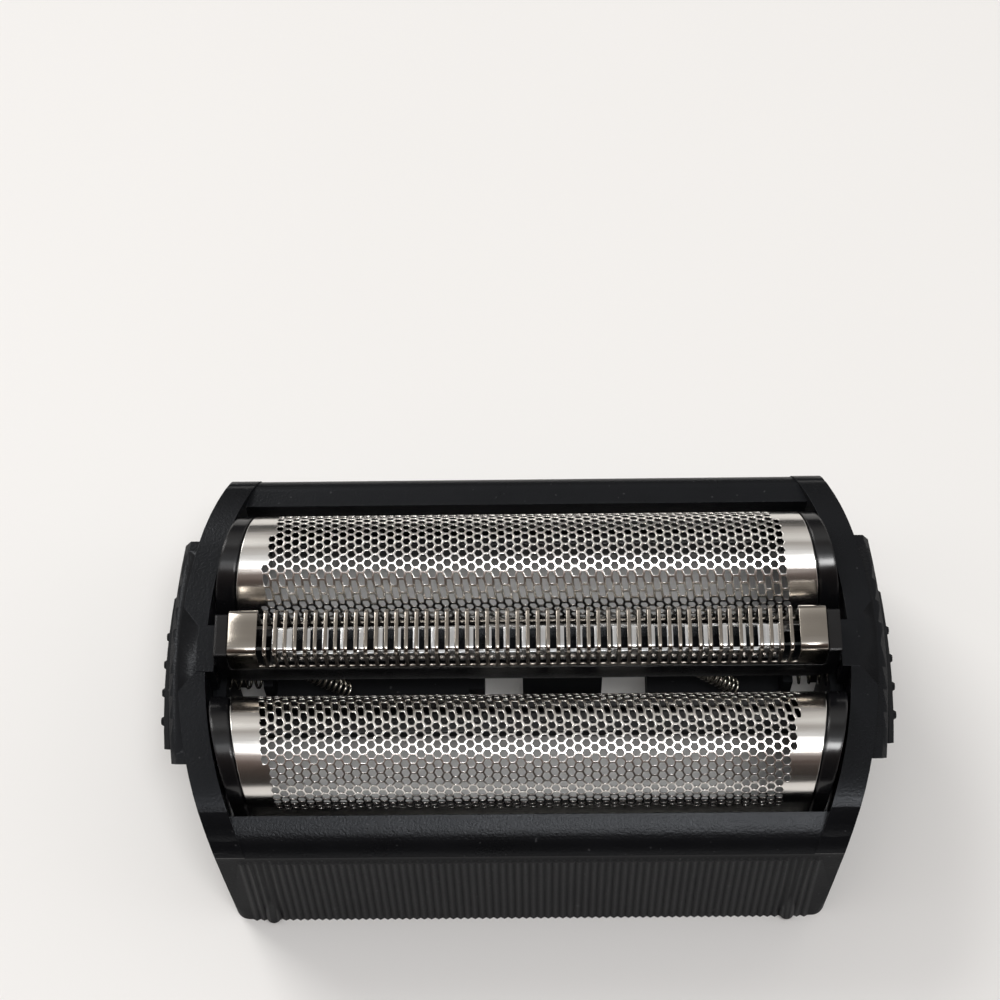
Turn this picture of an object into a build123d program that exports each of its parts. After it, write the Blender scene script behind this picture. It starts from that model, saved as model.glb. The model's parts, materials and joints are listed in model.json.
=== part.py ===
from build123d import *
import math
import os

# Two-foil shaver head standing on the lower rim of its frame, foils up.
# Millimetres. Origin at the middle of the footprint, X along the foils, -Y the front, Z up.

# Frame
cheek_reach = 28.6          # half length over the end cheeks, at mid width
cheek_radius = 43.0         # bulge of the cheeks, seen from above
rim_width = 2.2             # thickness of a cheek at its rim
rim_height = 16.6           # top of the cheeks
rim_round = 1.4             # rounding of the cheek tops, front and rear
skirt_half_width = 18.05    # half width of the lower rim
waist_half_width = 16.75    # half width where the ribbed band ends
waist_height = 12.6         # height where the ribbed band ends
lip_height = 14.85          # top of the long walls
lip_depth = 1.85            # thickness of the lip under its top
lip_round = 1.5             # rounding of the outer lip edge
lip_gap = 1.05              # foil flank to lip
wall = 1.45                 # long walls
cheek_wall = 1.5            # cheeks below the step
step_height = 7.6           # where the cheeks step out to the thinner wall
corner_radius = 1.2         # corners of the frame, seen from above
rib_pitch = 0.62
rib_depth = 0.16
rib_margin = 0.8            # bare wall between the last rib and the cheek
nub_radius = 0.65
nub_proud = 0.55            # nub beyond the lower rim
nub_inset = 2.9             # nub centre from the end of the ribbed wall
nub_length = 4.4            # height at which a nub runs out into the wall

# Foils
foil_reach = 24.4           # half length at mid width of the head
foil_end_radius = 50.0      # curve of the foil ends, seen from above
foil_spacing = 16.3         # between the two foil axes
foil_radius = 4.6
foil_axis_height = 14.0
foil_thickness = 0.2
foil_leg = 4.4              # straight flank below the axis
foil_float = 1.2            # upward travel of a foil
foil_land = 2.2             # plain metal at each end
hole_length = 4.0           # along the foil
hole_height = 2.7           # around the arch
hole_web = 0.5
hole_rows = 4

# Foil carriers
cap_gap = 0.35              # end cap to cheek
cap_overlap = 1.0           # end cap under the foil
rail_width = 0.95
rail_height = 2.2
rail_drop = 0.3             # rail below the foil's lower edge
seat_gap = 0.05             # foil to carrier, comb to carrier
lug_width = 1.7
lug_height = 2.0
lug_depth = 0.6
lug_rise = 0.2              # lug above the lower edge of the carrier
lug_offset = 1.0            # lug from the foil axis, away from the middle
slide_gap = 0.15            # between a guide and what runs in it

# Trimmer
comb_reach = 24.2
comb_width = 3.6
comb_top = 19.8
comb_height = 3.4
comb_thickness = 0.2
comb_bend = 0.6
comb_land = 2.4
slot_pitch = 0.82
slot_width = 0.5
comb_rim = 0.6              # unslotted strip along the comb's lower edges
blade_gap = 0.12            # blade to comb
blade_height = 2.3
tooth_pitch = 1.58
tooth_width = 0.7
tooth_depth = 1.6
blade_stroke = 1.2          # each way
trimmer_float = 1.5         # downward travel
trimmer_rail_width = 0.65
trimmer_rail_height = 2.4
end_block = 1.15            # length of the black end blocks
end_block_drop = 0.4        # end block top below the comb top
end_block_rise = 0.3        # end block above the lower edge of the rails
spring_seat = 0.8           # cross bars over the springs
tongue_width = 2.3
tongue_height = 1.35
tongue_depth = 0.75
tongue_drop = 0.6           # tongue below the top of the rails
guide_wall = 0.75
holder_height = 2.0
drive_width = 6.6           # drive block between the windows
drive_offset = 2.9          # drive block from the middle
drive_depth = 3.0
drive_pin_slot = 2.2
drive_neck = 0.4            # wide part of the drive block below the rails
drive_rise = 0.7            # drive block above the lower face of the bridge

# Bridge
bridge_width = 6.8
bridge_base = 4.5
bridge_height = 3.5
window_left = 3.3           # open space beside the drive block at rest
window_right = 4.0
window_depth = 4.6
window_flare = 1.3          # left window is this much wider, each way, along its front
window_flare_y = -0.4       # where the wider front part starts
post_thickness = 0.8
post_head = 0.4             # post above the button spring
post_gap = 2.1              # post to the pressed-in button
bridge_gap = 0.2            # bridge to the cheeks
post_width = 2.6
ledge_thickness = 1.6
ledge_length = 2.5

# Release buttons
block_proud = 0.8           # raised block beyond the cheek
block_radius = 70.0         # bulge of the block, seen from above
block_half_width = 9.9      # at its top
block_top = 16.3
block_height = 10.4
end_slope = 0.45            # how far the block and pad draw in, each way, for each step down
block_edge = 0.45
pad_proud = 1.1             # pad beyond the block
pad_radius = 72.0
pad_width = 14.0            # at its top
pad_height = 5.0
pad_drop = 0.7              # middle of the pad below the button's axis
pad_thickness = 1.75
pad_gap = 0.2
bump_radius = 0.8
bump_proud = 0.4
bump_pitch = 2.55
bump_count = 4
bump_sides = 8
bump_taper = 30             # slope of the bump sides, degrees
button_travel = 0.9
button_axis_height = 10.0   # stem, spring and bumps
stem_width = 5.0
stem_height = 2.6
flange_width = 6.2
flange_height = 4.0
flange_thickness = 0.8
flange_gap = 0.4            # flange to the cheek
latch_width = 3.2
latch_gap = 0.35            # latch arm to the bridge and its ledges
latch_drop = 1.3            # lower end of the latch arm above the rim
nose_height = 1.3
nose_depth = 0.6
bore_gap = 0.2              # spring to its bore in the button
bore_floor = 1.0            # pad material beyond the bore

# Springs
coil_runs = 6               # straight runs in one turn of wire
trimmer_spring_wire = 0.22
trimmer_spring_diameter = 1.8
trimmer_spring_turns = 10
trimmer_spring_lean = 4.6   # sideways run from the upper end to the lower end
trimmer_spring_left_x = -19.6
trimmer_spring_right_x = 13.2
button_spring_wire = 0.22
button_spring_diameter = 1.9
button_spring_turns = 6

# Worked out from the sizes above
foil_y = foil_spacing / 2
lip_inner = foil_y + foil_radius + lip_gap
rim_reach = cheek_reach - rim_width
lower_reach = cheek_reach - cheek_wall
foil_base = foil_axis_height - foil_leg
rail_base = foil_base - rail_drop
lug_base = rail_base + lug_rise
lug_y = foil_y + lug_offset
comb_base = comb_top - comb_height
rail_top = comb_base - seat_gap
trimmer_rail_base = rail_top - trimmer_rail_height
tongue_top = rail_top - tongue_drop
blade_top = comb_top - comb_thickness - blade_gap
blade_half_width = comb_width / 2 - comb_thickness - blade_gap
blade_base = blade_top - blade_height
blade_reach = comb_reach - comb_land - blade_stroke
bridge_top = bridge_base + bridge_height
flange_reach = rim_reach - flange_gap
pad_reach = cheek_reach + block_proud + pad_proud
pad_back = pad_reach - pad_thickness
recess_floor = pad_back - button_travel - pad_gap
bore_end = pad_back - bore_floor
pad_base = button_axis_height - pad_drop - pad_height / 2
post_reach = flange_reach - flange_thickness - button_travel - post_gap
fork_half = latch_width / 2 + latch_gap
drive_left = drive_offset - drive_width / 2
drive_right = drive_offset + drive_width / 2
total_span = 4 * cheek_reach


def bulge(reach, radius, y):
    """X of a bulging end at a given Y."""
    return reach - radius + math.sqrt(radius**2 - y**2)


def plan_face(reach, radius, half_width):
    """Outline seen from above: straight long sides and bulging ends."""
    corner = bulge(reach, radius, half_width)
    right = ThreePointArc((corner, -half_width), (reach, 0), (corner, half_width))
    rear = Line((corner, half_width), (-corner, half_width))
    left = ThreePointArc((-corner, half_width), (-reach, 0), (-corner, -half_width))
    front = Line((-corner, -half_width), (corner, -half_width))
    return make_face([right, rear, left, front])


def plan_block(reach, radius, half_width, low, high):
    """Solid with a bulging outline between two heights."""
    return extrude(Pos(0, 0, low) * plan_face(reach, radius, half_width), high - low)


def along_x(face):
    """Sweep a YZ profile right through the head, along X."""
    return extrude(Plane.YZ * face, total_span / 2, both=True)


def box_between(x_range, y_range, z_range):
    """Block given by its limits on the three axes."""
    size = [high - low for low, high in (x_range, y_range, z_range)]
    middle = [(high + low) / 2 for low, high in (x_range, y_range, z_range)]
    return Pos(*middle) * Box(*size)


def mirrored_profile(half_points):
    """Closed YZ outline from its +Y half, listed from bottom to top."""
    other_half = [(-y, z) for y, z in reversed(half_points)]
    return Polygon(*half_points, *other_half, align=None)


def arch_face(radius, base):
    """Round-topped YZ outline centred on a foil axis at Y = 0."""
    top = ThreePointArc(
        (radius, foil_axis_height), (0, foil_axis_height + radius), (-radius, foil_axis_height)
    )
    legs = Polyline(
        (-radius, foil_axis_height), (-radius, base), (radius, base), (radius, foil_axis_height)
    )
    return make_face([top, legs])


def skirt_y(height):
    """Half width of the flared outer wall at a height below the waist."""
    return skirt_half_width + (waist_half_width - skirt_half_width) * height / waist_height


def frame_outside():
    """Outer form: bulging cheeks cut to the flared side view."""
    outline = plan_face(cheek_reach, cheek_radius, skirt_half_width)
    outline = fillet(outline.vertices(), corner_radius)
    side = mirrored_profile(
        [(skirt_half_width, 0), (waist_half_width, waist_height), (waist_half_width, rim_height)]
    )
    side = fillet(side.vertices().group_by(Axis.Y)[-1], rim_round)
    return extrude(outline, rim_height) & along_x(side)


def lip_cut():
    """Space above the long walls, between the cheeks, with the rounded lip edge."""
    high = rim_height + 1
    side = mirrored_profile([(waist_half_width, waist_height), (waist_half_width, lip_height)])
    side = fillet(side.vertices().group_by(Axis.Y)[-1], lip_round)
    above = plan_block(rim_reach, cheek_radius - rim_width, skirt_half_width, waist_height, high)
    return above - along_x(side)


def frame_cavity():
    """Inside of the frame: open at the top between the lips and open below."""
    under_lip = lip_height - lip_depth
    shelf = under_lip - (waist_half_width - wall - lip_inner) / 2
    side = mirrored_profile(
        [
            (skirt_half_width - wall, 0),
            (skirt_y(shelf) - wall, shelf),
            (lip_inner, under_lip),
            (lip_inner, rim_height + 1),
        ]
    )
    inner_radius = cheek_radius - rim_width
    upper = plan_block(rim_reach, inner_radius, skirt_half_width, step_height, rim_height + 1)
    lower = plan_block(lower_reach, cheek_radius - cheek_wall, skirt_half_width, 0, step_height)
    return along_x(side) & (upper + lower)


def rib_band():
    """Fine upright ribs over the flared part of one long wall, on the +Y side."""
    half_run = bulge(cheek_reach, cheek_radius, skirt_half_width) - rib_margin
    count = int(2 * half_run / rib_pitch)
    first = -count * rib_pitch / 2
    points = [(first, -wall / 2)]
    for i in range(count):
        points.append((first + i * rib_pitch, 0))
        points.append((first + (i + 0.5) * rib_pitch, rib_depth))
    points.append((first + count * rib_pitch, 0))
    points.append((first + count * rib_pitch, -wall / 2))
    flare = Vector(0, waist_half_width - skirt_half_width, waist_height)
    section = Plane(origin=(0, skirt_half_width, 0), x_dir=(1, 0, 0), z_dir=(0, flare.Y, flare.Z))
    band = extrude(section * make_face(Polyline(*points, close=True)), flare.length)
    return band & box_between((-half_run, half_run), (0, 2 * skirt_half_width), (0, waist_height))


def sloped_ends(half_width, low, high):
    """Space between two ends that draw in downwards, so that nothing of them shows from above."""
    foot = half_width - end_slope * (high - low)
    return along_x(mirrored_profile([(foot, low), (half_width, high)]))


def broken_edges(raised):
    """Takes the sharpness off the long outer edges of a block or pad."""
    outer_face = raised.faces().sort_by(Axis.X)[-1]
    return chamfer(outer_face.edges().filter_by(GeomType.CIRCLE), block_edge)


def cheek_block(side):
    """Raised block on one cheek that surrounds the release button."""
    low = block_top - block_height
    block = plan_block(cheek_reach + block_proud, block_radius, skirt_half_width, low, block_top)
    root = bulge(cheek_reach, cheek_radius, block_half_width) - cheek_wall / 2
    block &= box_between((root, total_span), (-skirt_half_width, skirt_half_width), (low, block_top))
    block &= sloped_ends(block_half_width, low, block_top)
    block = broken_edges(block)
    return block if side > 0 else mirror(block, Plane.YZ)


def button_opening(side):
    """Recess for the pad and window for its stem, through one cheek."""
    half_pad = pad_width / 2 + pad_gap
    half_stem = stem_width / 2 + pad_gap
    pad_z = (pad_base - pad_gap, pad_base + pad_height + pad_gap)
    stem_z = (button_axis_height - stem_height / 2 - pad_gap, button_axis_height + stem_height / 2 + pad_gap)
    opening = box_between((recess_floor, total_span), (-half_pad, half_pad), pad_z)
    opening &= sloped_ends(half_pad + end_slope * pad_gap, *pad_z)
    opening += box_between((flange_reach - flange_thickness, recess_floor), (-half_stem, half_stem), stem_z)
    return opening if side > 0 else mirror(opening, Plane.YZ)


def lug_grooves():
    """Upright grooves in the cheeks, where the foil carriers run."""
    low = lug_base - slide_gap
    high = lug_base + lug_height + foil_float + slide_gap
    half = lug_width / 2 + slide_gap
    depth = bulge(rim_reach, cheek_radius - rim_width, lug_y) - cap_gap + lug_depth + slide_gap
    groove = box_between((0, depth), (lug_y - half, lug_y + half), (low, high))
    groove += mirror(groove, Plane.XZ)
    return groove + mirror(groove, Plane.YZ)


def trimmer_guide():
    """Stirrup on the +X cheek that guides the trimmer's tongue and stops it at the top."""
    inside = comb_reach + end_block + slide_gap * 2
    half = tongue_width / 2 + slide_gap
    slot_top = tongue_top + slide_gap
    slot_low = tongue_top - tongue_height - trimmer_float - slide_gap
    outer = box_between(
        (inside, rim_reach + rim_width / 3),
        (-half - guide_wall, half + guide_wall),
        (slot_low, slot_top + guide_wall),
    )
    inner = box_between((0, rim_reach), (-half, half), (slot_low - 1, slot_top))
    return outer - inner


def bridge_ledges():
    """Brackets low on the +X cheek that carry the ends of the bridge."""
    ledge = box_between(
        (lower_reach - ledge_length, lower_reach + cheek_wall / 2),
        (fork_half, bridge_width / 2),
        (bridge_base - ledge_thickness, bridge_base),
    )
    return ledge + mirror(ledge, Plane.XZ)


def nubs():
    """Small round-ended nubs low on the +Y wall, which run out into it at the top."""
    x = bulge(cheek_reach, cheek_radius, skirt_half_width) - nub_inset
    foot = Vector(x, skirt_half_width + nub_proud - nub_radius, nub_radius)
    top = Vector(x, skirt_y(nub_length) - nub_radius, nub_length)
    run = top - foot
    standing = (Align.CENTER, Align.CENTER, Align.MIN)
    nub = Plane(origin=foot, z_dir=run) * Cylinder(nub_radius, run.length, align=standing)
    nub += Plane(origin=foot, z_dir=-run) * Cone(nub_radius, nub_radius / 2, nub_radius / 2, align=standing)
    return nub + mirror(nub, Plane.YZ)


def make_frame():
    shell = frame_outside() - lip_cut()
    shell += rib_band() + mirror(rib_band(), Plane.XZ)
    shell += nubs() + mirror(nubs(), Plane.XZ)
    shell += cheek_block(1) + cheek_block(-1)
    shell -= frame_cavity()
    fittings = trimmer_guide() + bridge_ledges()
    shell += fittings + mirror(fittings, Plane.YZ)
    return shell - lug_grooves() - button_opening(1) - button_opening(-1)


def foil_region(extra, low, high):
    """Space between the curved foil ends, grown along X by extra."""
    return plan_block(foil_reach + extra, foil_end_radius, lip_inner, low, high)


def hole_tool(angle):
    """Cutter that points out of the arch at an angle from its crown."""
    tool = Pos(0, 0, foil_radius) * Box(hole_length, hole_height, foil_radius)
    return Rot(X=-angle) * tool


def hole_tools():
    """Rows of cutters over the crown and flanks of a foil at Y = 0."""
    column_pitch = hole_length + hole_web
    row_angle = math.degrees((hole_height + hole_web) / foil_radius)
    half_run = bulge(foil_reach, foil_end_radius, foil_y + foil_radius) - foil_land
    columns = int((half_run - hole_length / 2) / column_pitch)
    tools = []
    for column in range(-columns, columns + 1):
        for row in range(hole_rows):
            angle = (row - (hole_rows - 1) / 2) * row_angle
            tools.append(Pos(column * column_pitch, 0, foil_axis_height) * hole_tool(angle))
    return tools


def make_foil(side):
    """Arched foil with its straight flanks and perforated crown."""
    arch = along_x(arch_face(foil_radius, foil_base))
    arch -= along_x(arch_face(foil_radius - foil_thickness, foil_base - 1))
    arch -= hole_tools()
    placed = Pos(0, side * foil_y, 0) * arch
    return placed & foil_region(0, 0, 2 * rim_height)


def make_foil_carrier(side):
    """End arches joined by the two rails that the foil flanks lie on."""
    inner_radius = foil_radius - foil_thickness - seat_gap
    cap_radius = cheek_radius - rim_width - cap_gap
    within = plan_block(rim_reach - cap_gap, cap_radius, lip_inner, 0, 2 * rim_height)
    collar = Pos(0, side * foil_y, 0) * along_x(arch_face(inner_radius, rail_base))
    collar = (collar & within) - foil_region(-cap_overlap, 0, 2 * rim_height)
    cap = Pos(0, side * foil_y, 0) * along_x(arch_face(foil_radius, rail_base))
    cap = (cap & within) - foil_region(seat_gap, 0, 2 * rim_height)
    rails = box_between(
        (-foil_reach, foil_reach), (inner_radius - rail_width, inner_radius), (rail_base, rail_base + rail_height)
    )
    rails = Pos(0, side * foil_y, 0) * (rails + mirror(rails, Plane.XZ))
    rails &= foil_region(-cap_overlap / 2, 0, 2 * rim_height)
    lug_x = bulge(rim_reach, cheek_radius - rim_width, lug_y) - cap_gap
    lug = box_between(
        (lug_x - cap_overlap, lug_x + lug_depth),
        (side * lug_y - lug_width / 2, side * lug_y + lug_width / 2),
        (lug_base, lug_base + lug_height),
    )
    return collar + cap + rails + lug + mirror(lug, Plane.YZ)


def channel_face(half_width, top, base, bend):
    """Upside-down U outline with cut shoulders, filled."""
    outline = Polygon((half_width, base), (half_width, top), (-half_width, top), (-half_width, base), align=None)
    return chamfer(outline.vertices().group_by(Axis.Y)[-1], bend)


def slot_row(reach, pitch, gap, base, top):
    """Upright cutters in a row along X, as many as fit within the reach."""
    count = int(2 * reach / pitch)
    row = []
    for i in range(count):
        x = (i - (count - 1) / 2) * pitch
        row.append(box_between((x - gap / 2, x + gap / 2), (-comb_width, comb_width), (base, top)))
    return row


def make_comb():
    """Bent sheet channel with a row of slots across its crown and down both flanks."""
    half = comb_width / 2
    inner_half = half - comb_thickness
    sheet = along_x(channel_face(half, comb_top, comb_base, comb_bend))
    sheet -= along_x(channel_face(inner_half, comb_top - comb_thickness, 0, comb_bend - comb_thickness / 2))
    sheet &= box_between((-comb_reach, comb_reach), (-half, half), (comb_base, comb_top))
    return sheet - slot_row(comb_reach - comb_land, slot_pitch, slot_width, comb_base + comb_rim, comb_top + 1)


def make_blade():
    """Toothed bar that slides to and fro under the comb."""
    bar = box_between(
        (-blade_reach, blade_reach), (-blade_half_width, blade_half_width), (blade_base, blade_top)
    )
    bar = chamfer(bar.edges().filter_by(Axis.X).group_by(Axis.Z)[-1], comb_bend)
    return bar - slot_row(blade_reach, tooth_pitch, tooth_pitch - tooth_width, blade_top - tooth_depth, comb_top)


def make_trimmer_carrier():
    """Rails below the comb, black end blocks with guide tongues, and spring seats."""
    half = comb_width / 2
    inner = half - trimmer_rail_width
    rail = box_between((-comb_reach, comb_reach), (inner, half), (trimmer_rail_base, rail_top))
    carrier = rail + mirror(rail, Plane.XZ)
    for x in (trimmer_spring_left_x, trimmer_spring_right_x):
        seat_x = (x - trimmer_spring_diameter, x + trimmer_spring_diameter)
        carrier += box_between(seat_x, (-half, half), (trimmer_rail_base, trimmer_rail_base + spring_seat))
    block_low = trimmer_rail_base + end_block_rise
    block = box_between(
        (comb_reach + seat_gap, comb_reach + end_block), (-half, half), (block_low, comb_top - end_block_drop)
    )
    block += box_between((comb_reach - comb_land / 2, comb_reach + end_block), (-half, half), (block_low, rail_top))
    shoulder = half - comb_thickness - seat_gap
    block += box_between(
        (comb_reach - comb_land / 2, comb_reach + end_block),
        (-shoulder, shoulder),
        (block_low, comb_top - comb_thickness - comb_bend),
    )
    block += box_between(
        (comb_reach, comb_reach + end_block + tongue_depth),
        (-tongue_width / 2, tongue_width / 2),
        (tongue_top - tongue_height, tongue_top),
    )
    return carrier + block + mirror(block, Plane.YZ)


def make_blade_holder():
    """Slider under the blade with the drive block that hangs through the bridge."""
    neck_half = comb_width / 2 - trimmer_rail_width - slide_gap
    low = blade_base - holder_height
    holder = box_between((-blade_reach, blade_reach), (-neck_half, neck_half), (low, blade_base))
    drive_x = (drive_left, drive_right)
    drive_low = bridge_base + drive_rise
    shoulder = trimmer_rail_base - drive_neck
    holder += box_between(drive_x, (-neck_half, neck_half), (shoulder - drive_neck, low))
    drive = box_between(drive_x, (-drive_depth / 2, drive_depth / 2), (drive_low, shoulder))
    drive -= box_between((drive_left, drive_left + window_flare), (-drive_depth, window_flare_y), (0, bridge_top))
    pin = box_between(
        (drive_offset - drive_pin_slot / 2, drive_offset + drive_pin_slot / 2),
        (-drive_depth, drive_depth),
        (0, bridge_top),
    )
    return holder + drive - pin


def make_bridge():
    """Bar below the trimmer with the drive opening, forked ends and spring posts."""
    half = bridge_width / 2
    lower = plan_block(
        lower_reach - bridge_gap, cheek_radius - cheek_wall - bridge_gap, half, bridge_base, step_height - bridge_gap
    )
    upper = plan_block(
        rim_reach - bridge_gap, cheek_radius - rim_width - bridge_gap, half, bridge_base, bridge_top
    )
    bar = lower + upper
    opening_x = (drive_left - window_left, drive_right + window_right)
    bar -= box_between(opening_x, (-window_depth / 2, window_depth / 2), (0, rim_height))
    flare_x = (drive_left - window_left - window_flare, drive_left)
    bar -= box_between(flare_x, (-window_depth / 2, window_flare_y), (0, rim_height))
    fork = box_between((post_reach, total_span), (-fork_half, fork_half), (0, rim_height))
    post = box_between(
        (post_reach - post_thickness, post_reach),
        (-post_width / 2, post_width / 2),
        (bridge_base, button_axis_height + button_spring_diameter / 2 + post_head),
    )
    return bar - fork - mirror(fork, Plane.YZ) + post + mirror(post, Plane.YZ)


def make_button(side):
    """Pad with bumps, stem through the cheek, inner flange and latch arm."""
    pad_z = (pad_base, pad_base + pad_height)
    pad = plan_block(pad_reach, pad_radius, skirt_half_width, *pad_z)
    pad &= box_between((pad_back, total_span), (-skirt_half_width, skirt_half_width), pad_z)
    pad &= sloped_ends(pad_width / 2, *pad_z)
    pad = broken_edges(pad)
    for i in range(bump_count):
        y = (i - (bump_count - 1) / 2) * bump_pitch
        x = bulge(pad_reach, pad_radius, y) + bump_proud - bump_radius
        bump = extrude(RegularPolygon(bump_radius, bump_sides), bump_radius, taper=bump_taper)
        pad += Pos(x, y, button_axis_height) * Rot(Y=90) * bump
    stem = box_between(
        (flange_reach - flange_thickness, pad_back),
        (-stem_width / 2, stem_width / 2),
        (button_axis_height - stem_height / 2, button_axis_height + stem_height / 2),
    )
    flange_x = (flange_reach - flange_thickness, flange_reach)
    flange_z = (button_axis_height - flange_height / 2, button_axis_height + flange_height / 2)
    flange = box_between(flange_x, (-flange_width / 2, flange_width / 2), flange_z)
    arm = box_between(flange_x, (-latch_width / 2, latch_width / 2), (latch_drop, button_axis_height))
    nose_outline = Polygon(
        (flange_reach - flange_thickness, latch_drop),
        (flange_reach, latch_drop),
        (flange_reach + nose_depth, latch_drop + nose_height),
        (flange_reach - flange_thickness, latch_drop + nose_height),
        align=None,
    )
    nose = extrude(Plane.XZ * nose_outline, latch_width / 2, both=True)
    bore = Pos(0, 0, button_axis_height) * Rot(Y=90) * Cylinder(
        button_spring_diameter / 2 + bore_gap, bore_end, align=(Align.CENTER, Align.CENTER, Align.MIN)
    )
    button = pad + stem + flange + arm + nose - bore
    return button if side > 0 else mirror(button, Plane.YZ)


def coil(start, end, diameter, wire, turns):
    """Wire coiled about the line from start to end, as short straight runs."""
    axis = Vector(*end) - Vector(*start)
    helix = Helix(axis.length / turns, axis.length, (diameter - wire) / 2)
    runs = turns * coil_runs
    path = Polyline(*[helix @ (i / runs) for i in range(runs + 1)])
    section = Plane(origin=path @ 0, z_dir=path % 0) * RegularPolygon(wire / 2, 4)
    standing = sweep(section, path, transition=Transition.RIGHT)
    return Plane(origin=start, z_dir=axis).location * standing


def make_trimmer_spring(x):
    """Leaning coil between the carrier's seat and the bridge."""
    tilt = trimmer_spring_diameter * 0.45
    upper = (x, 0, trimmer_rail_base - tilt)
    lower = (x + trimmer_spring_lean, -tilt, bridge_top + tilt)
    return coil(lower, upper, trimmer_spring_diameter, trimmer_spring_wire, trimmer_spring_turns)


def make_button_spring(side):
    """Coil between the bridge's post and the bottom of the stem's bore."""
    start = (post_reach + button_spring_wire, 0, button_axis_height)
    end = (bore_end - button_spring_wire, 0, button_axis_height)
    spring = coil(start, end, button_spring_diameter, button_spring_wire, button_spring_turns)
    return spring if side > 0 else mirror(spring, Plane.YZ)


def main():
    pieces = {
        "frame": make_frame(),
        "trimmer_bridge": make_bridge(),
        "front_foil": make_foil(-1),
        "rear_foil": make_foil(1),
        "front_foil_carrier": make_foil_carrier(-1),
        "rear_foil_carrier": make_foil_carrier(1),
        "trimmer_comb": make_comb(),
        "trimmer_carrier": make_trimmer_carrier(),
        "trimmer_blade": make_blade(),
        "trimmer_blade_holder": make_blade_holder(),
        "trimmer_spring_left": make_trimmer_spring(trimmer_spring_left_x),
        "trimmer_spring_right": make_trimmer_spring(trimmer_spring_right_x),
        "release_button_left": make_button(-1),
        "release_button_right": make_button(1),
        "button_spring_left": make_button_spring(-1),
        "button_spring_right": make_button_spring(1),
    }
    os.makedirs("parts", exist_ok=True)
    for name, solid in pieces.items():
        export_step(solid, f"parts/{name}.step")


main()
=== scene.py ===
import json
import math

import bmesh
import bpy
from mathutils import Matrix, Vector


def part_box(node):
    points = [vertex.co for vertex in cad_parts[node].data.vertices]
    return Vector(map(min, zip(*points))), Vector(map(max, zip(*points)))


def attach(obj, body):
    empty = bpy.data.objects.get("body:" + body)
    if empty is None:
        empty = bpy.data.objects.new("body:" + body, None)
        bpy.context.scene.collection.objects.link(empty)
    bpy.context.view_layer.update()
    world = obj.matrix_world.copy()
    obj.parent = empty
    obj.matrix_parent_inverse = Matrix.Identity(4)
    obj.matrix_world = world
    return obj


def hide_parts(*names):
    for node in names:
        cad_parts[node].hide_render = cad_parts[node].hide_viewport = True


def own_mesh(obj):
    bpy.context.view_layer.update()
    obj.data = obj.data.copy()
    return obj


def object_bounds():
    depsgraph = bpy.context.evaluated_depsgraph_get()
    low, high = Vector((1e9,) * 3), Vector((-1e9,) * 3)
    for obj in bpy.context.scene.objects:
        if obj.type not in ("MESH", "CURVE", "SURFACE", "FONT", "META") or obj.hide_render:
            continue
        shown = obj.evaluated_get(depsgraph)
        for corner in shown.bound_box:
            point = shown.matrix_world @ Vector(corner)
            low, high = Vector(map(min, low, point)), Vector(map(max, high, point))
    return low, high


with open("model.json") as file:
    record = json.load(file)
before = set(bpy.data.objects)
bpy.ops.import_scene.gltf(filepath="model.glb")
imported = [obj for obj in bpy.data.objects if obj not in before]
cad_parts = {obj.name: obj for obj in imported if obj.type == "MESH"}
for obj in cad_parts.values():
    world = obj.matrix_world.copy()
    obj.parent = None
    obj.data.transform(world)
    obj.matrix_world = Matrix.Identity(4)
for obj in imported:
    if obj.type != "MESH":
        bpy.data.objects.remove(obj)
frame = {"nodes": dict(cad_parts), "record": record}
cad_low, cad_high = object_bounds()

# Meshes are made in millimetres and brought to metres when a piece is finished.
mm = 0.001


def node_box(name):
    """Lowest and highest corner of a solid at rest, in millimetres."""
    low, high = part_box(name)
    return low / mm, high / mm


# Foils: what the solids give
foil_low, foil_high = node_box("front_foil")
foil_radius = (foil_high.y - foil_low.y) / 2
foil_axis_y = (foil_high.y + foil_low.y) / 2
foil_axis_z = foil_high.z - foil_radius
foil_leg = foil_axis_z - foil_low.z
foil_reach = foil_high.x
foil_quarter = foil_radius * math.pi / 2

# Foils: the sheet
foil_sheet = 0.1
foil_end_radius = 50     # bulge of the foils' ends, seen from above
foil_land = 2.2          # plain strip at each end
foil_hem = 0.06          # narrow band along the edge of the sheet
foil_strips = 44         # strips that the plain parts are bent in

# Foils: the perforation
perforated_arc = 7.7     # the cells go this far down each flank from the crown
cell_column = 0.658
cell_row = 0.766
cell_web = 0.15
cell_edge = 0.03         # narrow band around each hole
cell_forward = 0.65      # the pattern sits this far forward of the crown
cell_lean = 0.05         # sideways drift of the cells for each step around the arch
cell_merge = 0.02        # corners of neighbouring cells this close become one
field_merge = 0.03       # the same, once the field is laid out and cut to size
long_start_row = -2.15   # row where the long cells of the inner flank start
long_blend = 0.5         # rows over which the cells' sides become straight
long_margin = 0.3        # the wider webs set in this many rows before the long cells
long_rows = 2
long_row = 1.24
long_square = 0.8        # how far the long cells' sides are straightened
long_lean = 0.1          # further drift of the long cells
long_web = 0.2

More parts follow.
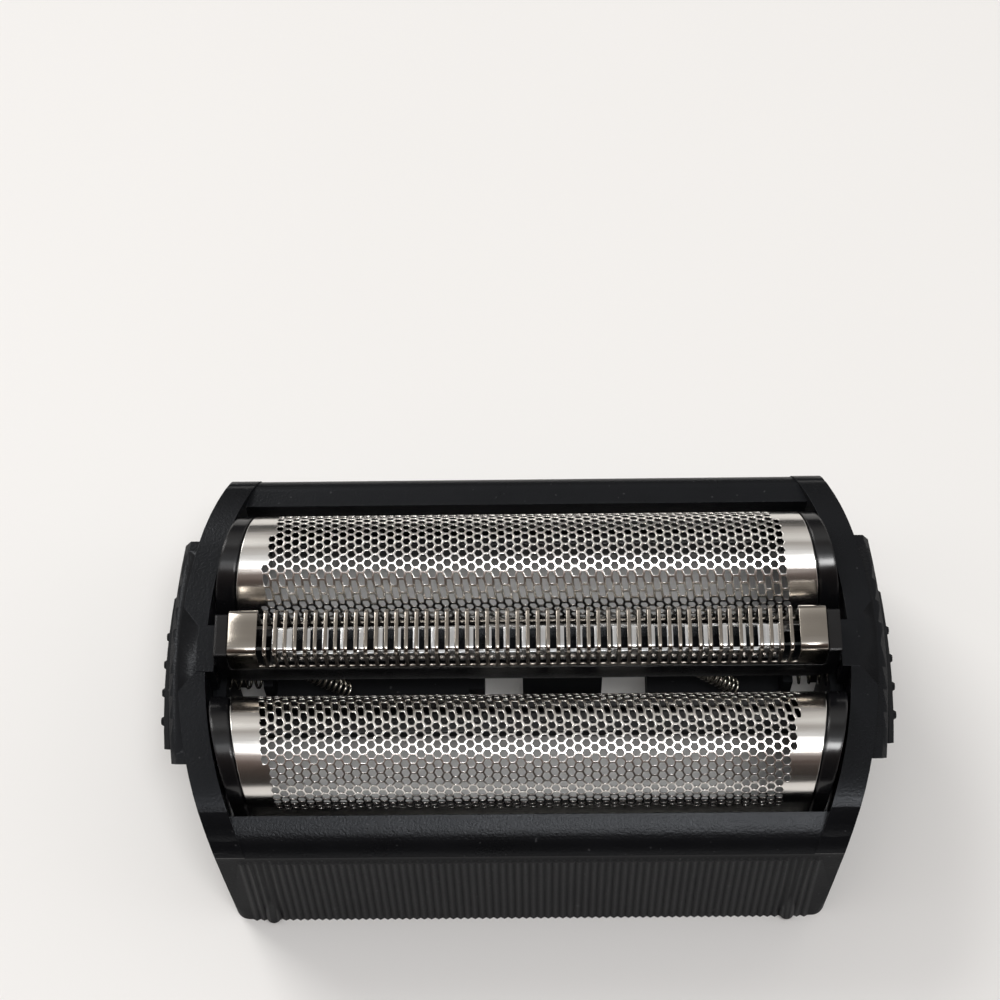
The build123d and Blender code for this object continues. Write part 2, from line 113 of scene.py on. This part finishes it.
# Frame: tops of the long walls and of the cheeks
lip_height = 14.85       # top of the long walls at their inner edge
lip_start = 13.8         # inner edge of the long walls
lip_end = 16.75          # outer face of the long walls
lip_slope = 0.268        # fall of the front lip for each step forward
lip_drop = 1.0           # what the rounding takes off at the front face
lip_power = 4            # how late that rounding sets in
lip_round = 1.5          # radius of the rear wall's top
lip_step = 0.15          # cheek top above the lip at the ends of the cheeks
lip_tolerance = 0.001
cheek_fall_start = 9.0   # the cheek tops fall towards both ends from here
cheek_fall_end = 15.75   # and are down at the lip here
front_fall_power = 4     # how late they fall in front
rear_fall_power = 2
cheek_cuts = 21          # lines that the tops are cut along, so that they bend smoothly
cheek_cut_step = 0.375
cut_snap = 0.004         # a cut this close to a corner goes through it
frame_merge = 0.001      # corners of the solid's faces this close become one
frame_sliver = 0.002     # edges shorter than this are dropped
frame_crease = math.radians(14)

# Frame: ribs and nubs of the long walls
rib_top = 12.6
rib_depth = 0.16
rib_fade = 0.7           # the ribs run out over this height
rib_tolerance = 0.01
skirt_foot = 18.05       # foot of the long walls, between the ribs
skirt_lean = (skirt_foot - lip_end) / rib_top
skirt_margin = 0.5       # the walls stay matt up to this far above the ribs
nub_radius = 0.65
nub_x = 21.73
nub_foot_y = 17.925
nub_top_y = 16.95
nub_height = 4.4
nub_segments = 24
nub_rings = 13

# Trimmer comb and blade
comb_low, comb_high = node_box("trimmer_comb")
comb_sheet = 0.2
comb_bend = 0.62
comb_land = 2.2          # plain strip at each end
comb_rim = 0.55          # plain strip along each lower edge
comb_rounding = 0.045
comb_overhang = 0.4      # how far the comb stands out behind its solid
slot_pitch = 0.818
slot_width = 0.5
slot_shift = 0.06        # middle of the slots from the middle of the head
blade_low, blade_high = node_box("trimmer_blade")
blade_rear = 0.7         # rear face of the blade
blade_sheet = 0.25
blade_bend = 0.3
blade_land = 1.2
blade_rail = 0.24        # unbroken strip along the rear of the blade
blade_rounding = 0.04
gap_depth = 0.6          # how far the gaps between the teeth go down the front flank
tooth_pitch = 1.465
tooth_width = 0.48
tooth_shift = -0.18
bend_steps = 5
rounding_segments = 2
rounding_angle = math.radians(50)

# Springs
spring_wire = 0.24
spring_sides = 8
spring_steps = 20        # steps in one turn
trimmer_turns = 12
trimmer_coil_reach = 0.68  # reach of the leaning coil from its axis, as a part of half its solid's depth
trimmer_coil_slack = 0.75  # how far its ends keep inside the solid, as a part of that reach
button_turns = 6

# Camera, from the photograph: its angles, distance and focal length in picture widths
camera_elevation = math.radians(63.59)
camera_azimuth = math.radians(1.68)
camera_roll = math.radians(2.09)
camera_distance = 188.65
camera_target = Vector((-2.22, 14.64, 14.0))
camera_focal_widths = 2.19322
camera_sensor = 36
camera_clip = 0.01       # metres

# Surroundings: the floor's half width in metres, and the room's tones, each at its place on the way
# from straight in front of the head, at 0, through overhead, at 0.5, to straight behind it, at 1
floor_reach = 3
floor_cells = 8
room_tones = (
    (0.0, (0.03, 0.027, 0.025)),
    (0.1, (0.06, 0.047, 0.041)),
    (0.25, (0.15, 0.105, 0.09)),
    (0.36, (0.34, 0.28, 0.26)),
    (0.45, (0.75, 0.76, 0.78)),
    (0.56, (0.72, 0.72, 0.72)),
    (0.70, (0.34, 0.32, 0.30)),
    (0.79, (0.80, 0.79, 0.77)),
    (0.92, (0.52, 0.50, 0.48)),
    (0.975, (0.12, 0.115, 0.11)),
    (1.0, (0.05, 0.05, 0.05)),
)


class Wire:
    """A node socket that takes part in Python expressions; each operator adds a Math node."""

    def __init__(self, tree, socket=None):
        self.tree = tree
        self.socket = socket

    def node(self, kind, sockets=None, output=0, **settings):
        """Adds a node: settings first, then its sockets' values or links, and gives one output."""
        made = self.tree.nodes.new("ShaderNode" + kind)
        for stop, (place, colour) in enumerate(settings.pop("stops", ())):
            ramp = made.color_ramp.elements
            element = ramp[stop] if stop < len(ramp) else ramp.new(place)
            element.position = place
            element.color = (*colour, 1)
        for name, value in settings.items():
            setattr(made, name, value)
        for name, value in (sockets or {}).items():
            if isinstance(value, Wire):
                self.tree.links.new(value.socket, made.inputs[name])
            else:
                made.inputs[name].default_value = value
        return Wire(self.tree, made.outputs[output])

    def maths(self, operation, first, second=0.0):
        """Adds a Math node."""
        return self.node("Math", {0: first, 1: second}, operation=operation)

    def __add__(self, other):
        return self.maths("ADD", self, other)

    def __radd__(self, other):
        return self.maths("ADD", other, self)

    def __sub__(self, other):
        return self.maths("SUBTRACT", self, other)

    def __rsub__(self, other):
        return self.maths("SUBTRACT", other, self)

    def __mul__(self, other):
        return self.maths("MULTIPLY", self, other)

    def __rmul__(self, other):
        return self.maths("MULTIPLY", other, self)

    def __gt__(self, other):
        return self.maths("GREATER_THAN", self, other)


def surface(name, make):
    """A material with one principled shader; make adds nodes through a wire and gives the sockets."""
    material = bpy.data.materials.new(name)
    material.use_nodes = True
    tree = material.node_tree
    shader = tree.nodes["Principled BSDF"]
    for socket, value in make(Wire(tree)).items():
        if isinstance(value, Wire):
            tree.links.new(value.socket, shader.inputs[socket])
        else:
            shader.inputs[socket].default_value = value
    return material


def object_place(wire):
    """Object coordinates, in metres."""
    return wire.node("TexCoord", output=3)


def drawn_out(wire, scale):
    """Object coordinates scaled by axis, for marks that run one way."""
    return wire.node("Mapping", {"Vector": object_place(wire), "Scale": scale})


def coordinate(wire, place, axis):
    """One coordinate of a place: 0 for X, 1 for Y, 2 for Z."""
    return wire.node("SeparateXYZ", {"Vector": place}, output=axis)


def noise(wire, place, scale, detail=2.0, roughness=0.5):
    """Noise of a given scale in cells a metre, from 0 to 1."""
    sockets = {"Vector": place, "Scale": scale, "Detail": detail, "Roughness": roughness}
    return wire.node("TexNoise", sockets)


def blend(wire, factor, first, second):
    """A colour between two others, each a wire or red, green and blue."""
    ends = [colour if isinstance(colour, Wire) else (*colour, 1) for colour in (first, second)]
    return wire.node("Mix", {0: factor, 6: ends[0], 7: ends[1]}, output=2, data_type="RGBA")


def relief(wire, height, strength, distance, edge_radius=None):
    """Bumps that follow a height, over edges softened by a radius; lengths in millimetres."""
    sockets = {"Height": height, "Strength": strength, "Distance": distance * mm}
    if edge_radius:
        sockets["Normal"] = wire.node("Bevel", {"Radius": edge_radius * mm}, samples=6)
    return wire.node("Bump", sockets)


def moulded_black(wire):
    """Satin black plastic with a fine grain, soft edges and a little dust, matt on the ribbed walls."""
    place = object_place(wire)
    grain = noise(wire, place, scale=5200, detail=3.0, roughness=0.6)
    patches = noise(wire, place, scale=160, detail=3.0)
    dust = noise(wire, place, scale=2600, detail=1.0) > 0.76
    clean = blend(wire, patches, (0.0032, 0.0034, 0.004), (0.0056, 0.006, 0.0072))
    height = coordinate(wire, place, 2)
    depth = wire.maths("ABSOLUTE", coordinate(wire, place, 1))
    skirt = 1 - (height > (rib_top + skirt_margin) * mm)
    proud = (depth + height * skirt_lean - skirt_foot * mm) * (1 / (rib_depth * mm))
    crest = wire.maths("MINIMUM", wire.maths("MAXIMUM", proud, 0), 1)
    return {
        "Base Color": blend(wire, dust * 0.3, clean, (0.1, 0.1, 0.105)),
        "Roughness": 0.22 + 0.08 * patches + 0.06 * grain + skirt * (0.4 - 0.2 * crest),
        "IOR": 1.28,
        "Specular Tint": (0.90, 0.94, 1.0, 1),
        "Normal": relief(wire, grain, strength=0.45, distance=0.06, edge_radius=0.07),
    }


def gloss_black(wire):
    """Polished black plastic with faint handling marks."""
    marks = noise(wire, object_place(wire), scale=420, detail=4.0, roughness=0.6)
    return {
        "Base Color": blend(wire, marks, (0.0035, 0.0035, 0.004), (0.006, 0.006, 0.007)),
        "Roughness": 0.1 + 0.14 * marks,
        "Normal": relief(wire, marks, strength=0.05, distance=0.05, edge_radius=0.3),
    }


def nickel_foil(wire):
    """Electroformed nickel: a bright skin with faint lines and a warm bloom, and painted shade on its
    inner side.
    """
    place = object_place(wire)
    lines = noise(wire, drawn_out(wire, (90, 5200, 5200)), scale=1.0)
    bloom = noise(wire, place, scale=130, detail=3.0)
    skin = blend(wire, bloom, (0.72, 0.69, 0.65), (0.86, 0.84, 0.81))
    depth = wire.maths("ABSOLUTE", coordinate(wire, place, 1)) + foil_axis_y * mm
    rise = wire.maths("MAXIMUM", coordinate(wire, place, 2) - foil_axis_z * mm, 0)
    from_axis = wire.maths("SQRT", depth * depth + rise * rise)
    # painted shade: the inner half of the sheet, with its underside and the lower halves of the hole
    # walls, is coloured near black for the shade inside the head
    unshaded_outer_half = from_axis > (foil_radius - foil_sheet / 2) * mm
    return {
        "Base Color": blend(wire, unshaded_outer_half, (0.06, 0.057, 0.053), skin),
        "Metallic": 1.0,
        "Roughness": 0.13 + 0.1 * lines,
        "Normal": relief(wire, lines, strength=0.08, distance=0.02),
    }


def nickel_comb(wire):
    """Warm nickel plate over a stamped comb, darker than the foils."""
    lines = noise(wire, drawn_out(wire, (150, 4200, 4200)), scale=1.0)
    bloom = noise(wire, object_place(wire), scale=320, detail=3.0)
    return {
        "Base Color": blend(wire, bloom, (0.33, 0.30, 0.265), (0.43, 0.395, 0.35)),
        "Metallic": 1.0,
        "Roughness": 0.15 + 0.08 * lines,
        "Normal": relief(wire, lines, strength=0.05, distance=0.03),
    }


def blade_steel(wire):
    """Ground steel, with the grinding lines across the blade."""
    lines = noise(wire, drawn_out(wire, (6500, 120, 120)), scale=1.0)
    return {
        "Base Color": blend(wire, lines, (0.70, 0.71, 0.72), (0.86, 0.87, 0.88)),
        "Metallic": 1.0,
        "Roughness": 0.16 + 0.12 * lines,
        "Normal": relief(wire, lines, strength=0.15, distance=0.03),
    }


def spring_steel(wire):
    """Drawn spring wire with a faint oil tint."""
    tint = noise(wire, object_place(wire), scale=900)
    return {
        "Base Color": blend(wire, tint, (0.50, 0.47, 0.40), (0.68, 0.66, 0.60)),
        "Metallic": 1.0,
        "Roughness": 0.18 + 0.12 * tint,
    }


def floor_paint(wire):
    """Pale matt table top, faintly mottled."""
    mottle = noise(wire, object_place(wire), scale=9, detail=3.0)
    return {
        "Base Color": blend(wire, mottle, (0.81, 0.802, 0.785), (0.86, 0.853, 0.838)),
        "Roughness": 0.6,
    }


makers = (moulded_black, gloss_black, nickel_foil, nickel_comb, blade_steel, spring_steel)
finishes = {make.__name__: surface(make.__name__, make) for make in makers}


def dress_solids():
    """Gives each solid the finish of its slot in the record."""
    for entry in frame["record"]["subparts"]:
        slots = frame["nodes"][entry["node"]].data.materials
        slots.clear()
        slots.append(finishes[entry["material_slot"]])


def finished(name, mesh, body, slot, *nodes):
    """Brings a mesh to metres, gives it its finish, sets it on its body and lets it replace its solids."""
    bmesh.ops.scale(mesh, vec=(mm, mm, mm), verts=mesh.verts)
    data = bpy.data.meshes.new(name)
    mesh.to_mesh(data)
    mesh.free()
    data.materials.append(finishes[slot])
    data.shade_smooth()
    piece = bpy.data.objects.new(name, data)
    bpy.context.scene.collection.objects.link(piece)
    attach(piece, body)
    if nodes:
        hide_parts(*nodes)
    return piece


def face_up(mesh):
    """Turns an arched skin so that its outside faces up."""
    mesh.normal_update()
    if sum(face.normal.z for face in mesh.faces) < 0:
        bmesh.ops.reverse_faces(mesh, faces=mesh.faces)


def cut_across(mesh, faces, place, direction):
    """Cuts faces along a plane and gives all the faces that come of it."""
    edges = dict.fromkeys(edge for face in faces for edge in face.edges)
    corners = dict.fromkeys(corner for face in faces for corner in face.verts)
    cut = bmesh.ops.bisect_plane(
        mesh, geom=[*faces, *edges, *corners], dist=cut_snap, plane_co=place, plane_no=direction)
    return [part for part in cut["geom"] if isinstance(part, bmesh.types.BMFace)]


def thicken(piece, thickness):
    """Gives a skin its wall, inwards from the skin."""
    wall = piece.modifiers.new("wall", "SOLIDIFY")
    wall.thickness = thickness * mm
    wall.offset = -1
    wall.use_even_offset = True


def rounded(piece, radius):
    """Breaks a finished piece's sharp edges."""
    edge = piece.modifiers.new("edges", "BEVEL")
    edge.width = radius * mm
    edge.segments = rounding_segments
    edge.limit_method = "ANGLE"
    edge.angle_limit = rounding_angle


def lip_top(y):
    """Height of the long walls' tops at Y: sloped and rounded in front, rounded behind."""
    if y > 0:
        into_round = min(max(0, y - lip_end + lip_round), lip_round)
        return lip_height - lip_round + math.sqrt(lip_round**2 - into_round**2)
    over = max(0, -y - lip_start)
    return lip_height - lip_slope * over - lip_drop * (over / (lip_end - lip_start))**lip_power


def drawn_down(corner):
    """A corner of the frame, moved: the lips take their form, the cheek tops fall, the ribs run out."""
    x, y, z = corner
    behind = y > 0
    fallen = (abs(y) - cheek_fall_start) / (cheek_fall_end - cheek_fall_start)
    fall = min(max(0, fallen), 1)**(rear_fall_power if behind else front_fall_power)
    over = z - lip_height
    if over > lip_tolerance:
        z = lip_top(y) + over * (1 - fall) + min(lip_step, over) * fall
    else:
        z = min(z, lip_top(y) + (lip_step if behind else 0))
    if abs(z - rib_top) < rib_tolerance and abs(y) > lip_end:
        y = math.copysign(lip_end, y)
    return x, y, z


def nub(mesh, across, along):
    """A rounded nub on a long wall, near a corner of the frame: a ball drawn out up the wall."""
    ball = bmesh.ops.create_uvsphere(
        mesh, u_segments=nub_segments, v_segments=nub_rings, radius=nub_radius)
    for vertex in ball["verts"]:
        upper = vertex.co.z > 0
        y = nub_top_y if upper else nub_foot_y
        z = nub_height - nub_radius if upper else nub_radius
        vertex.co += Vector((across * nub_x, along * y, z))


def frame_shell():
    """The frame, copied from its solid and drawn down, with a nub near each corner."""
    mesh = bmesh.new()
    mesh.from_mesh(frame["nodes"]["frame"].data)
    bmesh.ops.scale(mesh, vec=(1 / mm, 1 / mm, 1 / mm), verts=mesh.verts)
    bmesh.ops.remove_doubles(mesh, verts=mesh.verts, dist=frame_merge)
    lowest = lip_top(-lip_end)
    for side in (-1, 1):
        for step in range(cheek_cuts):
            line = (0, side * (cheek_fall_start + cheek_cut_step * step), 0)
            tops = [face for face in mesh.faces if max(corner.co.z for corner in face.verts) > lowest]
            cut_across(mesh, tops, line, (0, 1, 0))
        ribs = [face for face in mesh.faces if side * face.calc_center_median().y > lip_end]
        cut_across(mesh, ribs, (0, 0, rib_top - rib_fade), (0, 0, 1))
    bmesh.ops.triangulate(mesh, faces=mesh.faces)
    for vertex in mesh.verts:
        vertex.co = drawn_down(vertex.co)
    bmesh.ops.dissolve_degenerate(mesh, dist=frame_sliver, edges=mesh.edges)
    for across, along in ((-1, -1), (1, -1), (-1, 1), (1, 1)):
        nub(mesh, across, along)
    piece = finished("frame_shell", mesh, "housing", "moulded_black", "frame")
    piece.data.set_sharp_from_angle(angle=frame_crease)


def arc_from_row(row):
    """Arc length of a row line from the middle of the pattern; the long cells take up more of it."""
    long_cells = min(max(0, long_start_row - row), long_rows)
    return row * cell_row - long_cells * (long_row - cell_row)


def laid_out(corner, side):
    """A corner of the plain field on the flat foil: X in millimetres, Y as arc length from the crown."""
    into_long = min(max(0, (long_start_row - corner.y) / long_blend), 1)
    out_of_long = min(max(0, (corner.y - long_start_row + long_rows) / long_blend + 1), 1)
    column = corner.x / cell_column
    straight = math.floor(column) + 0.5
    x = cell_column * (column + (straight - column) * long_square * into_long * out_of_long)
    pattern_arc = arc_from_row(corner.y)
    lean = cell_lean * pattern_arc + long_lean * min(0, pattern_arc - long_start_row * cell_row)
    return Vector((x - side * lean, pattern_arc - side * cell_forward, 0))


def arch_place(arc, side):
    """Y and Z on the foil's skin at an arc length from the crown; side is -1 in front and 1 behind."""
    angle = max(-math.pi / 2, min(math.pi / 2, arc / foil_radius))
    below = max(0, abs(arc) - foil_quarter)
    y = side * (foil_radius * math.sin(angle) - foil_axis_y)
    return y, foil_axis_z + foil_radius * math.cos(angle) - below


def foil_end(y):
    """Half length of a foil at Y: its ends follow the bulge of the cheeks."""
    return foil_reach - y * y / (2 * foil_end_radius)


def bent(flat, side):
    """A flat point of a foil on its arch, with the plain ends drawn in to the curved end line."""
    y, z = arch_place(flat.y, side)
    end = foil_end(y)
    start = end - foil_land
    x = abs(flat.x)
    if x > start:
        x = start + (x - start) * (end - start) / (foil_reach - start)
    return Vector((math.copysign(x, flat.x), y, z))


def cell_field(mesh):
    """A flat field of six-sided cells in staggered columns, X in millimetres and Y in rows."""
    flat_top = Matrix.Rotation(math.radians(30), 4, "Z")
    shape = Matrix.Diagonal((cell_column / 1.5, 1 / math.sqrt(3), 1, 1)) @ flat_top
    columns = math.ceil((foil_reach + foil_radius * long_lean) / cell_column) + 2
    rows = math.ceil((foil_quarter + foil_leg + cell_forward) / cell_row) + 1
    for column in range(-columns, columns + 1):
        for row in range(-rows, rows + 1):
            place = Matrix.Translation((column * cell_column, row + 0.5 * (column % 2), 0))
            bmesh.ops.create_circle(mesh, cap_ends=True, segments=6, radius=1, matrix=place @ shape)
    bmesh.ops.remove_doubles(mesh, verts=mesh.verts, dist=cell_merge)


def cut_off(mesh, place, outward):
    """Cuts a flat field along a line and drops what lies outside it."""
    geometry = mesh.verts[:] + mesh.edges[:] + mesh.faces[:]
    bmesh.ops.bisect_plane(mesh, geom=geometry, plane_co=place, plane_no=outward, clear_outer=True)


def is_hole(face, side):
    """Whether a cell lies in the perforated part of a foil."""
    centre = face.calc_center_median()
    y, _ = arch_place(centre.y, side)
    return abs(centre.y) < perforated_arc and abs(centre.x) < foil_end(y) - foil_land


def pierce(mesh, holes, side):
    """Opens the cells of a flat foil, with wider webs between the long ones."""
    long_arc = (long_start_row + long_margin) * cell_row - side * cell_forward
    long_cells = [cell for cell in holes if cell.calc_center_median().y < long_arc]
    others = [cell for cell in holes if cell.calc_center_median().y >= long_arc]
    for cells, web in ((long_cells, long_web), (others, cell_web)):
        for inset in (web / 2 - cell_edge, cell_edge):
            bmesh.ops.inset_individual(mesh, faces=cells, thickness=inset, use_even_offset=True)
    bmesh.ops.delete(mesh, geom=holes, context="FACES")


def plain_regions(faces):
    """Sorts the plain faces of a foil into its two ends and its two legs."""
    regions = {}
    for face in faces:
        centre = face.calc_center_median()
        on_leg = abs(centre.y) > perforated_arc
        region = (on_leg, centre.y > 0 if on_leg else centre.x > 0)
        regions.setdefault(region, []).append(face)
    return regions.values()


def strips(mesh, faces):
    """Cuts plain faces along X, so that they bend smoothly over the arch."""
    for step in range(foil_strips + 1):
        line = (0, foil_quarter * (2 * step / foil_strips - 1), 0)
        faces = cut_across(mesh, faces, line, (0, 1, 0))


def foil(name, side, body, node):
    """A foil bent over its arch: six-sided holes, long on the inner flank, and plain ends and legs."""
    mesh = bmesh.new()
    cell_field(mesh)
    for vertex in mesh.verts:
        vertex.co = laid_out(vertex.co, side)
    ends = foil_quarter + foil_leg
    for outward in (-1, 1):
        cut_off(mesh, (outward * foil_reach, 0, 0), (outward, 0, 0))
        cut_off(mesh, (0, outward * ends, 0), (0, outward, 0))
    bmesh.ops.remove_doubles(mesh, verts=mesh.verts, dist=field_merge)
    rim = bmesh.ops.inset_region(mesh, faces=mesh.faces[:], thickness=foil_hem, use_boundary=True)
    hem = rim["faces"]
    holes = [cell for cell in mesh.faces if is_hole(cell, side)]
    taken = {*holes, *hem}
    plain = [face for face in mesh.faces if face not in taken]
    pierce(mesh, holes, side)
    sheets = list(hem)
    for region in plain_regions(plain):
        sheets += bmesh.ops.dissolve_faces(mesh, faces=region)["region"]
    strips(mesh, sheets)
    for vertex in mesh.verts:
        vertex.co = bent(vertex.co, side)
    face_up(mesh)
    piece = finished(name, mesh, body, "nickel_foil", node)
    thicken(piece, foil_sheet)


def slot_lines(half_length, land, pitch, width, shift):
    """Lines across a channel: its end, then both edges of each slot, then its other end."""
    count = int((2 * (half_length - land) + pitch - width) / pitch)
    first = shift - (count * pitch - (pitch - width)) / 2
    edges = [first + number * pitch + edge for number in range(count) for edge in (0, width)]
    return [-half_length, *edges, half_length]


def channel_lines(half_width, height, bend, openings):
    """Lines along a channel, as arc lengths from the middle of its top, and where its slots end."""
    flat = half_width - bend
    turn = bend * math.pi / 2
    around = [flat + turn * step / bend_steps for step in range(1, bend_steps + 1)]
    half = [flat / 2, flat, *around, flat + turn + height - bend]
    return sorted({0, *openings, *half, *(-line for line in half)})


def channel_place(arc, half_width, top, bend):
    """Y and Z on a channel's skin at an arc length from the middle of its top."""
    flat = half_width - bend
    turn = bend * math.pi / 2
    length = abs(arc)
    angle = max(0, min(math.pi / 2, (length - flat) / bend))
    y = min(length, flat) + bend * math.sin(angle)
    z = top - bend * (1 - math.cos(angle)) - max(0, length - flat - turn)
    return math.copysign(y, arc), z


def slotted_channel(low, high, bend, columns, openings):
    """A channel, open below, with a slot in every second column from one opening line to the other."""
    half_width = (high.y - low.y) / 2
    rows = channel_lines(half_width, high.z - low.z, bend, openings)
    mesh = bmesh.new()
    across = len(columns) - 1
    along = len(rows) - 1
    bmesh.ops.create_grid(mesh, x_segments=across, y_segments=along, size=0.5)
    slots = []
    for face in mesh.faces:
        centre = face.calc_center_median()
        column = int((centre.x + 0.5) * across)
        row = int((centre.y + 0.5) * along)
        if column % 2 and openings[0] < (rows[row] + rows[row + 1]) / 2 < openings[1]:
            slots.append(face)
    for vertex in mesh.verts:
        column = round((vertex.co.x + 0.5) * across)
        row = round((vertex.co.y + 0.5) * along)
        y, z = channel_place(rows[row], half_width, high.z, bend)
        vertex.co = (columns[column] + (low.x + high.x) / 2, y + (low.y + high.y) / 2, z)
    bmesh.ops.delete(mesh, geom=slots, context="FACES")
    face_up(mesh)
    return mesh


def trimmer_comb():
    """The comb: slots over its top and both flanks, plain ends and a rim along each lower edge."""
    rear_corner = comb_high + Vector((0, comb_overhang, 0))
    half_width = (rear_corner.y - comb_low.y) / 2
    end = half_width - comb_bend + comb_bend * math.pi / 2 + comb_high.z - comb_low.z - comb_bend
    opening = end - comb_rim
    columns = slot_lines(comb_high.x, comb_land, slot_pitch, slot_width, slot_shift)
    mesh = slotted_channel(comb_low, rear_corner, comb_bend, columns, (-opening, opening))
    piece = finished("comb_plate", mesh, "trimmer_unit", "nickel_comb", "trimmer_comb")
    thicken(piece, comb_sheet)
    rounded(piece, comb_rounding)


def trimmer_blade():
    """The blade under the comb: teeth from a rail along its rear to a rail low on its front flank."""
    rear_corner = Vector((blade_high.x, blade_rear, blade_high.z))
    half_width = (blade_rear - blade_low.y) / 2
    bend_end = half_width - blade_bend + blade_bend * math.pi / 2
    openings = (blade_bend - gap_depth - bend_end, half_width - blade_rail)
    columns = slot_lines(blade_high.x, blade_land, tooth_pitch, tooth_pitch - tooth_width, tooth_shift)
    mesh = slotted_channel(blade_low, rear_corner, blade_bend, columns, openings)
    piece = finished("toothed_blade", mesh, "trimmer_cutter", "blade_steel", "trimmer_blade")
    thicken(piece, blade_sheet)
    rounded(piece, blade_rounding)


def coil(name, start, end, radius, turns, node):
    """A coil of round wire from one point to another, on the housing."""
    axis = end - start
    steps = round(turns * spring_steps)
    mesh = bmesh.new()
    upright = Matrix.Translation((radius, 0, 0)) @ Matrix.Rotation(math.pi / 2, 4, "X")
    bmesh.ops.create_circle(mesh, segments=spring_sides, radius=spring_wire / 2, matrix=upright)
    bmesh.ops.spin(
        mesh, geom=mesh.edges[:], cent=(0, 0, 0), axis=(0, 0, 1), dvec=(0, 0, axis.length / steps),
        angle=math.tau * turns, steps=steps)
    bmesh.ops.holes_fill(mesh, edges=mesh.edges, sides=spring_sides)
    bmesh.ops.recalc_face_normals(mesh, faces=mesh.faces)
    turn = axis.to_track_quat("Z", "Y").to_matrix().to_4x4()
    bmesh.ops.transform(mesh, matrix=Matrix.Translation(start) @ turn, verts=mesh.verts)
    return finished(name, mesh, "housing", "spring_steel", node)


def trimmer_spring(name, node):
    """A leaning coil under the trimmer, with a mesh of its own."""
    low, high = node_box(node)
    reach = (high.y - low.y) / 2 * trimmer_coil_reach
    slack = Vector((reach * trimmer_coil_slack, reach, reach * trimmer_coil_slack))
    start = Vector((low.x + slack.x, high.y - slack.y, high.z - slack.z))
    end = Vector((high.x - slack.x, low.y + slack.y, low.z + slack.z))
    piece = coil(name, start, end, reach - spring_wire / 2, trimmer_turns, node)
    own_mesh(piece)


def button_spring(side, node):
    """A coil behind a release button, with a mesh of its own."""
    low, high = node_box(node)
    radius = (high.z - low.z - spring_wire) / 2
    middle = (low + high) / 2
    start = Vector((low.x + spring_wire / 2, middle.y, middle.z))
    end = Vector((high.x - spring_wire / 2, middle.y, middle.z))
    piece = coil("button_coil_" + side, start, end, radius, button_turns, node)
    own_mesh(piece)


def room():
    """Daylight in bands: dim in front, bright overhead, and a pale wall behind that darkens downwards."""
    world = bpy.data.worlds.new("room")
    world.use_nodes = True
    bpy.context.scene.world = world
    wire = Wire(world.node_tree)
    depth = coordinate(wire, wire.node("TexCoord", output=0), 1)
    tones = wire.node("ValToRGB", {"Fac": depth * 0.5 + 0.5}, stops=room_tones)
    background = world.node_tree.nodes["Background"]
    world.node_tree.links.new(tones.socket, background.inputs["Color"])
    background.inputs["Strength"].default_value = 1.0


def lamp(name, place, target, width, height, power, colour):
    """A soft box, aimed at a point of the head; sizes in millimetres."""
    light = bpy.data.lights.new(name, "AREA")
    light.shape = "RECTANGLE"
    light.size = width * mm
    light.size_y = height * mm
    light.energy = power
    light.color = colour
    box = bpy.data.objects.new(name, light)
    box.location = place * mm
    box.rotation_mode = "QUATERNION"
    box.rotation_quaternion = (target - place).to_track_quat("-Z", "Y")
    bpy.context.scene.collection.objects.link(box)


def lamps():
    """A dim ceiling panel, a small bright one and a large window behind on the left."""
    middle = (cad_low + cad_high) / 2 / mm
    lamp(
        "ceiling_light", Vector((10, -110, 620)), middle,
        width=480, height=180, power=0.4, colour=(0.97, 0.985, 1.0))
    lamp(
        "ceiling_spot", Vector((80, -185, 600)), middle,
        width=200, height=120, power=1.2, colour=(1.0, 1.0, 1.0))
    lamp(
        "window_light", Vector((-700, 800, 900)), middle,
        width=620, height=620, power=8.4, colour=(1.0, 0.985, 0.965))


def floor():
    """The pale floor under the head."""
    mesh = bmesh.new()
    bmesh.ops.create_grid(mesh, x_segments=floor_cells, y_segments=floor_cells, size=floor_reach)
    data = bpy.data.meshes.new("floor")
    mesh.to_mesh(data)
    mesh.free()
    data.materials.append(surface("floor_paint", floor_paint))
    ground = bpy.data.objects.new("floor", data)
    bpy.context.scene.collection.objects.link(ground)


def camera():
    """The photograph's camera: a little right of the middle, high in front, rolled slightly."""
    level = math.cos(camera_elevation)
    sideways = math.sin(camera_azimuth)
    forwards = math.cos(camera_azimuth)
    back = Vector((sideways * level, -forwards * level, math.sin(camera_elevation)))
    right = Vector((forwards, sideways, 0))
    up = back.cross(right)
    turned_right = math.cos(camera_roll) * right - math.sin(camera_roll) * up
    turned_up = math.sin(camera_roll) * right + math.cos(camera_roll) * up
    axes = Matrix((turned_right, turned_up, back)).transposed().to_4x4()
    lens = bpy.data.cameras.new("camera")
    lens.sensor_width = camera_sensor
    lens.lens = camera_focal_widths * camera_sensor
    lens.clip_start = camera_clip
    view = bpy.data.objects.new("camera", lens)
    view.matrix_world = Matrix.Translation((camera_target + back * camera_distance) * mm) @ axes
    bpy.context.scene.collection.objects.link(view)
    bpy.context.scene.camera = view


def head():
    """Every piece of the shaver head."""
    dress_solids()
    frame_shell()
    foil("front_perforated_foil", -1, "front_foil_unit", "front_foil")
    foil("rear_perforated_foil", 1, "rear_foil_unit", "rear_foil")
    trimmer_comb()
    trimmer_blade()
    trimmer_spring("trimmer_coil_left", "trimmer_spring_left")
    trimmer_spring("trimmer_coil_right", "trimmer_spring_right")
    button_spring("left", "button_spring_left")
    button_spring("right", "button_spring_right")


def studio():
    """Floor, light and camera."""
    bpy.context.scene.view_settings.view_transform = "Standard"
    room()
    lamps()
    floor()
    camera()


head()
studio()
